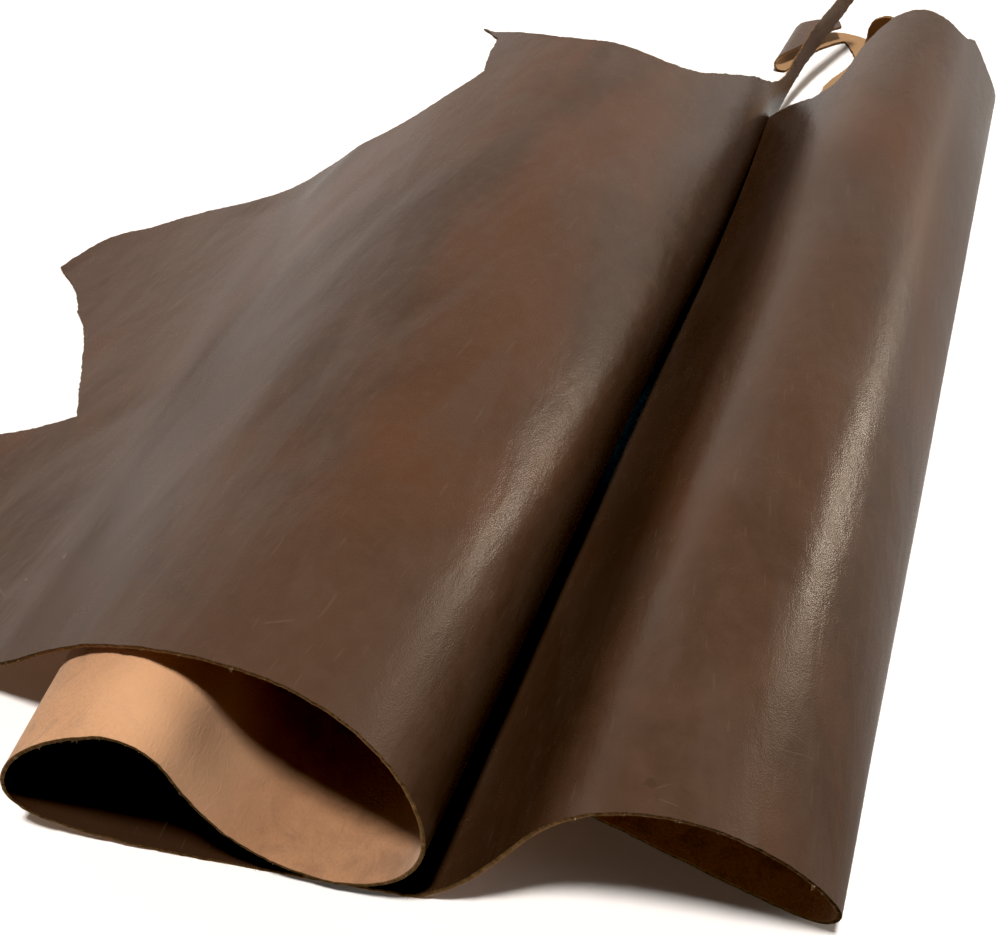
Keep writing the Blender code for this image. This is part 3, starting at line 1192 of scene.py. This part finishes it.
@dataclass
class Outline:
    """The edge of the flat skin, knife-cut in front and ragged elsewhere."""

    step: float = 0.0032
    ragged: float = 0.0011
    cut_waver: float = 0.0005
    frays: tuple[Pair, ...] = ((60.0, 1.1), (190.0, 1.0),
                                              (420.0, 0.6))

    def run(self) -> list[Vector]:
        """The closed edge as short steps.

        Returns:
            Points of the flat skin, in order.
        """
        count = len(OUTLINE)
        points = []
        for i, corner in enumerate(OUTLINE):
            after = OUTLINE[(i + 1) % count]
            a = Vector((corner.along, corner.across))
            b = Vector((after.along, after.across))
            before = OUTLINE[i - 1]
            beyond = OUTLINE[(i + 2) % count]
            leave = 0.5 * (b - Vector(before[:2]))
            arrive = 0.5 * (Vector(beyond[:2]) - a)
            if corner.sharp:
                leave = b - a
            if after.sharp:
                arrive = b - a
            length = (b - a).length
            leave *= min(1.0, length / max(leave.length, 1e-9))
            arrive *= min(1.0, length / max(arrive.length, 1e-9))
            pieces = max(1, math.ceil(length / self.step))
            straight = corner.across == 0.0 and after.across == 0.0
            for k in range(pieces):
                t = k / pieces
                point = (a * (1 + 2 * t) * (1 - t) ** 2
                         + b * t * t * (3 - 2 * t)
                         + leave * t * (1 - t) ** 2 - arrive * t * t * (1 - t))
                points.append(self.frayed(point, b - a, straight))
        return points

    def frayed(self, point: Vector, way: Vector, straight: bool) -> Vector:
        """Move one edge point in or out a little.

        Args:
            point: the even edge's point.
            way: the direction of the edge there.
            straight: whether it lies on the backbone cut.

        Returns:
            The uneven edge's point.
        """
        size = self.cut_waver if straight else self.ragged
        place = Vector((point.x, point.y, 0.0))
        off = sum(noise.noise(place * scale) * share
                  for scale, share in self.frays)
        side = Vector((way.y, -way.x)).normalized()
        return point + side * off * size


@dataclass
class Hide:
    """The folded skin."""

    drape: Drape
    outline: Outline = field(default_factory=Outline)
    ruling_step: float = 0.0095
    turn_step: float = 4.5
    narrowest: float = 0.0025
    row_step: float = 0.0085
    reach: float = 1.45
    edge_loop: float = 0.00055
    swells: Pair = (9.0, 4.0)
    swell_heights: tuple[Pair, ...] = ((1.0, 0.00045),
                                                      (3.1, 0.00022))
    pull_from: float = 3.0
    pull_over: float = 12.0

    def blank(self) -> bmesh.types.BMesh:
        """Cut the flat skin along its rulings and rows.

        Returns:
            The flat mesh, one face thick.
        """
        skin = bmesh.new()
        edge = [skin.verts.new((p.x, p.y, 0.0)) for p in self.outline.run()]
        skin.faces.new(edge)
        for station, lean in self.rulings():
            self.slit(skin, Vector((station, 0.0, 0.0)),
                      Vector((math.tan(lean), 1.0, 0.0)))
        rows = int(self.reach / self.row_step)
        for row in range(1, rows):
            self.slit(skin, Vector((0.0, row * self.row_step, 0.0)),
                      Vector((1.0, 0.0, 0.0)))
        return skin

    def rulings(self) -> list[Pair]:
        """Stations and leans of the rulings that the skin is cut along.

        Returns:
            One pair for each, its lean in radians.
        """
        drape = self.drape
        turn = np.abs(np.diff(drape.turn)) / math.radians(self.turn_step)
        cells = np.maximum(np.minimum(turn, drape.step / self.narrowest),
                           drape.step / self.ruling_step)
        column = np.concatenate(((0.0,), np.cumsum(cells)))
        wanted = np.arange(1, int(column[-1]))
        stations = np.interp(wanted, column, drape.along)
        leans = np.interp(stations, drape.along, drape.lean)
        return list(zip(stations, leans))

    @staticmethod
    def slit(skin: bmesh.types.BMesh, start: Vector, way: Vector) -> None:
        """Cut the flat mesh along one line.

        Args:
            skin: the mesh.
            start: a point of the line.
            way: its direction.
        """
        cut_along(skin, skin.verts[:] + skin.edges[:] + skin.faces[:], start,
                  (way.y, -way.x, 0.0))

    @staticmethod
    def mark(faces: Sequence[bmesh.types.BMFace], side: Side) -> None:
        """Say which side of the skin some faces are."""
        for face in faces:
            face.material_index = side.value

    def thicken(self, skin: bmesh.types.BMesh) -> None:
        """Give the flat mesh its thickness, with loops near its corners.

        Args:
            skin: the mesh, one face thick.
        """
        half = self.drape.thickness / 2
        bmesh.ops.recalc_face_normals(skin, faces=skin.faces)
        if sum(f.normal.z for f in skin.faces) < 0.0:
            bmesh.ops.reverse_faces(skin, faces=skin.faces)
        self.mark(skin.faces, Side.GRAIN)
        under = bmesh.ops.duplicate(skin, geom=skin.faces[:])["geom"]
        lower = [g for g in under if isinstance(g, bmesh.types.BMFace)]
        points = {v for f in lower for v in f.verts}
        for vert in skin.verts:
            vert.co.z = -half if vert in points else half
        bmesh.ops.reverse_faces(skin, faces=lower)
        self.mark(lower, Side.FLESH)
        rims = [e for e in skin.edges if e.is_boundary]
        self.mark(bmesh.ops.bridge_loops(skin, edges=rims)["faces"], Side.EDGE)
        for height in (-half + self.edge_loop, half - self.edge_loop):
            cut_along(skin, list({g for f in skin.faces
                                  if f.material_index == Side.EDGE.value
                                  for g in (f, *f.edges, *f.verts)}),
                      (0.0, 0.0, height), (0.0, 0.0, 1.0))

    def creased(self, flat: np.ndarray) -> np.ndarray:
        """Height of the soft creases and of the skin's own unevenness.

        Args:
            flat: rows of places along the backbone cut and across from it.

        Returns:
            One height for each point.
        """
        lift = np.zeros(len(flat))
        for crease in CREASES:
            bearing = math.radians(crease.bearing)
            x, y = (flat - (crease.along, crease.across)).T
            run = x * math.cos(bearing) + y * math.sin(bearing)
            side = -x * math.sin(bearing) + y * math.cos(bearing)
            lift += crease.height * np.exp(
                -(side / crease.width) ** 2
                - np.abs(run / (0.5 * crease.length)) ** 3)
        for i, (x, y) in enumerate(flat):
            place = Vector((x * self.swells[0], y * self.swells[1], 0.0))
            for finer, height in self.swell_heights:
                lift[i] += height * noise.noise(place * finer)
        return lift

    def build(self) -> bpy.types.Object:
        """Make the folded skin.

        Returns:
            Its object.
        """
        skin = self.blank()
        LOG.info("blank: %d faces", len(skin.faces))
        self.thicken(skin)
        skin.verts.ensure_lookup_table()
        points = np.array([v.co[:] for v in skin.verts])
        flat, lift = points[:, :2].copy(), points[:, 2]
        folded = self.drape.place(flat, lift + self.creased(flat))
        folded[:, 2] = np.maximum(folded[:, 2], 0.0)
        skin_uv = skin.loops.layers.uv.new("skin")
        for face in skin.faces:
            face.smooth = True
            for loop in face.loops:
                loop[skin_uv].uv = loop.vert.co.xy
        pull = skin.verts.layers.float.new("pull")
        depth = skin.verts.layers.float.new("depth")
        sharp = np.clip((self.drape.bending(flat) - self.pull_from)
                        / self.pull_over, 0.0, 1.0)
        half = self.drape.thickness / 2
        for i, vert in enumerate(skin.verts):
            vert[pull] = float(sharp[i])
            vert[depth] = float(0.5 + 0.5 * lift[i] / half)
            vert.co = folded[i]
        for edge in skin.edges:
            sides = {face.material_index for face in edge.link_faces}
            edge.smooth = len(sides) == 1
        return placed("hide_skin", skin, WaxedGrain(), NappedFlesh(),
                      CutEdge())


@dataclass
class EdgeFibres:
    """Loose fibres that stand on the cut edge."""

    drape: Drape
    outline: Outline
    spacing: float = 0.0022
    longest: float = 0.0034
    radius: float = 0.00015
    tufts: float = 150.0
    seed: int = 7
    crowd: Pair = (0.8, 5.0)
    shortest: float = 0.25
    tuft_length: Pair = (0.5, 1.4)
    heights: Pair = (-0.95, 0.55)
    splay: float = 0.5
    sunk: float = 0.0006
    tip_way: Pair = (0.8, 1.6)
    drops: Pair = (-1.0, 0.6)
    drop_length: float = 0.7
    bend_drop: float = 0.3
    tuft_tone: Pair = (0.5, 1.6)

    def build(self) -> bpy.types.Object:
        """Make the fibres as one mesh.

        Returns:
            Its object.
        """
        chance = random.Random(self.seed)
        edge = self.outline.run()
        roots, tips, bends, shades = [], [], [], []
        half = self.drape.thickness / 2
        for i, here in enumerate(edge):
            after = edge[(i + 1) % len(edge)]
            way = after - here
            if way.length < 1e-6:
                continue
            out = Vector((way.y, -way.x)).normalized()
            tuft = max(0.0, noise.noise(Vector((*here, 0.0)) * self.tufts))
            crowd, more, tone = (
                least + extra * tuft
                for least, extra in (self.crowd, self.tuft_length,
                                     self.tuft_tone))
            for _ in range(max(1, round(way.length / self.spacing * crowd))):
                start = here + way * chance.random()
                length = (self.longest
                          * (self.shortest + (1.0 - self.shortest)
                             * chance.random() ** 2) * more)
                rise = half * chance.uniform(*self.heights)
                lean = way.normalized() * chance.uniform(-self.splay,
                                                         self.splay)
                roots.append((*(start - out * self.sunk), rise))
                mid = start + (out + lean) * length * 0.5
                tip = start + (out * self.tip_way[0]
                               + lean * self.tip_way[1]) * length
                drop = chance.uniform(*self.drops) * length * self.drop_length
                bends.append((*mid, rise + self.bend_drop * drop))
                tips.append((*tip, rise + drop))
                shades.append(min(1.0, chance.random() * tone))
        lines = np.stack([self.drape.place(p[:, :2].copy(), p[:, 2])
                          for p in map(np.array, (roots, bends, tips))], 1)
        lines[:, :, 2] = np.maximum(lines[:, :, 2], self.radius)
        straight = self.straight()
        fuzz = bmesh.new()
        for _ in shades:
            fuzz.from_mesh(straight)
        self.lay(fuzz, lines, shades, len(straight.vertices))
        bpy.data.meshes.remove(straight)
        piece = placed("edge_fibres", fuzz, LooseFibre())
        unmet(piece, "diffuse", "glossy", "shadow")
        return piece

    @staticmethod
    def straight() -> bpy.types.Mesh:
        """One straight fibre of three sides, 2 long and 2 across.

        Returns:
            Its mesh.
        """
        single = bmesh.new()
        bmesh.ops.create_cone(single, cap_ends=True, segments=3, radius1=1.0,
                              radius2=0.02, depth=2.0)
        cut_along(single, single.verts[:] + single.edges[:] + single.faces[:],
                  (0.0, 0.0, 0.0), (0.0, 0.0, 1.0))
        for face in single.faces:
            face.smooth = True
        mesh = bpy.data.meshes.new("straight_fibre")
        single.to_mesh(mesh)
        single.free()
        return mesh

    def lay(self, fuzz: bmesh.types.BMesh, lines: np.ndarray,
            shades: list[float], count: int) -> None:
        """Bend each straight fibre along its line.

        Args:
            fuzz: the mesh of all the fibres.
            lines: root, bend and tip of each.
            shades: the tone of each, from 0, dark, to 1, pale.
            count: points in one fibre.
        """
        shade = fuzz.verts.layers.float.new("shade")
        fuzz.verts.ensure_lookup_table()
        for i, (line, tone) in enumerate(zip(lines, shades)):
            path = [Vector(point) for point in line]
            way = (path[2] - path[0]).normalized()
            side = way.orthogonal().normalized()
            over = way.cross(side)
            for vert in fuzz.verts[i * count:(i + 1) * count]:
                x, y, z = vert.co
                vert.co = (path[round(z) + 1]
                           + (side * x + over * y) * self.radius)
                vert[shade] = tone


@dataclass
class Studio:
    """Camera, white floor and backdrop, lamps and a pale horizon."""

    eye: tuple[float, float, float] = (0.0368, -1.1591, 0.85)
    pitch: float = 42.0
    lens: float = 50.4
    sensor: float = 36.0
    sight: float = 100.0
    middle: tuple[float, float, float] = (0.1, -0.1, 0.1)
    floor_half: float = 15.0
    floor_drop: float = 0.0004
    wall: float = 14.0
    wall_sides: int = 64
    horizon: float = 1.05
    zenith: float = 0.10
    front: float = 0.070
    low_band: Pair = (0.20, 1.05)
    back_band: Pair = (-0.10, 0.60)
    ground_band: Pair = (-0.12, 0.04)
    ground: float = 0.66
    back_colour: Colour = (1.0, 0.925, 0.85, 1.0)
    front_colour: Colour = (1.0, 0.74, 0.52, 1.0)
    black: tuple[float, float, float] = (0.0088, 0.0047, 0.0034)

    def build(self) -> None:
        """Set up the studio."""
        scene = bpy.context.scene
        view = scene.view_settings
        view.view_transform = "Standard"
        view.use_curve_mapping = True
        view.curve_mapping.black_level = self.black
        view.curve_mapping.update()
        lens = bpy.data.cameras.new("view")
        lens.lens = self.lens
        lens.sensor_width = self.sensor
        lens.sensor_fit = "HORIZONTAL"
        lens.clip_end = self.sight
        camera = bpy.data.objects.new("view", lens)
        camera.location = self.eye
        camera.rotation_euler = (math.radians(90.0 - self.pitch), 0.0, 0.0)
        scene.collection.objects.link(camera)
        scene.camera = camera
        self.floor()
        self.backdrop()
        self.surroundings()
        for lamp in LAMPS:
            self.hang(lamp)

    def floor(self) -> None:
        """Lay the floor."""
        sheet = bmesh.new()
        bmesh.ops.create_grid(sheet, x_segments=1, y_segments=1,
                              size=self.floor_half)
        floor = placed("floor", sheet, PaleFloor())
        floor.location.z = -self.floor_drop
        unmet(floor, "diffuse", "glossy")

    def backdrop(self) -> None:
        """Stand a pale wall round the floor, which only the eye meets."""
        ring = bmesh.new()
        bmesh.ops.create_cone(ring, cap_ends=False, segments=self.wall_sides,
                              radius1=self.wall, radius2=self.wall,
                              depth=2.0 * self.wall)
        bmesh.ops.reverse_faces(ring, faces=ring.faces)
        wall = placed("backdrop", ring, PaleBackdrop())
        unmet(wall, "diffuse", "glossy", "shadow", "transmission")

    def surroundings(self) -> None:
        """Pale light from low behind the hide, little from elsewhere."""
        world = bpy.data.worlds.new("studio")
        bpy.context.scene.world = world
        sky = Bench(world)
        where = sky.add("TexCoord", None, None, "Generated")
        high, far = sky.part(where, "Z"), sky.part(where, "Y")
        low = (self.zenith + (self.horizon - self.zenith)
               * (1.0 - sky.step(high, *self.low_band)))
        low = low * (self.ground + (1.0 - self.ground)
                     * sky.step(high, *self.ground_band))
        behind = sky.step(far, *self.back_band)
        colour = sky.blend(behind, self.front_colour, self.back_colour)
        light = sky.add("Background", None,
                        {"Color": colour,
                         "Strength": (low * behind).most(self.front)})
        sky.add("OutputWorld", None, {"Surface": light}, None)

    def hang(self, lamp: Lamp) -> None:
        """Hang a lamp and aim it at the middle of the hide.

        Args:
            lamp: the lamp; its bearing is from +Y towards +X.
        """
        source = bpy.data.lights.new(lamp.name, lamp.kind.value)
        source.energy = lamp.energy
        source.color = lamp.colour
        if lamp.kind is LampKind.SUN:
            source.angle = math.radians(lamp.spread)
        else:
            source.shape = "RECTANGLE"
            source.size, source.size_y = lamp.size
        light = bpy.data.objects.new(lamp.name, source)
        turn, rise = math.radians(lamp.bearing), math.radians(lamp.height)
        way = Vector((math.sin(turn) * math.cos(rise),
                      math.cos(turn) * math.cos(rise), math.sin(rise)))
        light.location = Vector(self.middle) + way * lamp.reach
        light.rotation_euler = way.to_track_quat("Z", "Y").to_euler()
        bpy.context.scene.collection.objects.link(light)


def main() -> None:
    """Build the pieces in order and say what each came to."""
    logging.basicConfig(level=logging.INFO, format="%(name)s: %(message)s")
    drape = Drape()
    hide = Hide(drape)
    skin = hide.build()
    fibres = EdgeFibres(drape, hide.outline).build()
    for piece in (skin, fibres):
        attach(piece, "root")
        LOG.info("%s: %d faces", piece.name, len(piece.data.polygons))
    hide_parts("hide")
    Studio().build()


if __name__ == "__main__":
    main()
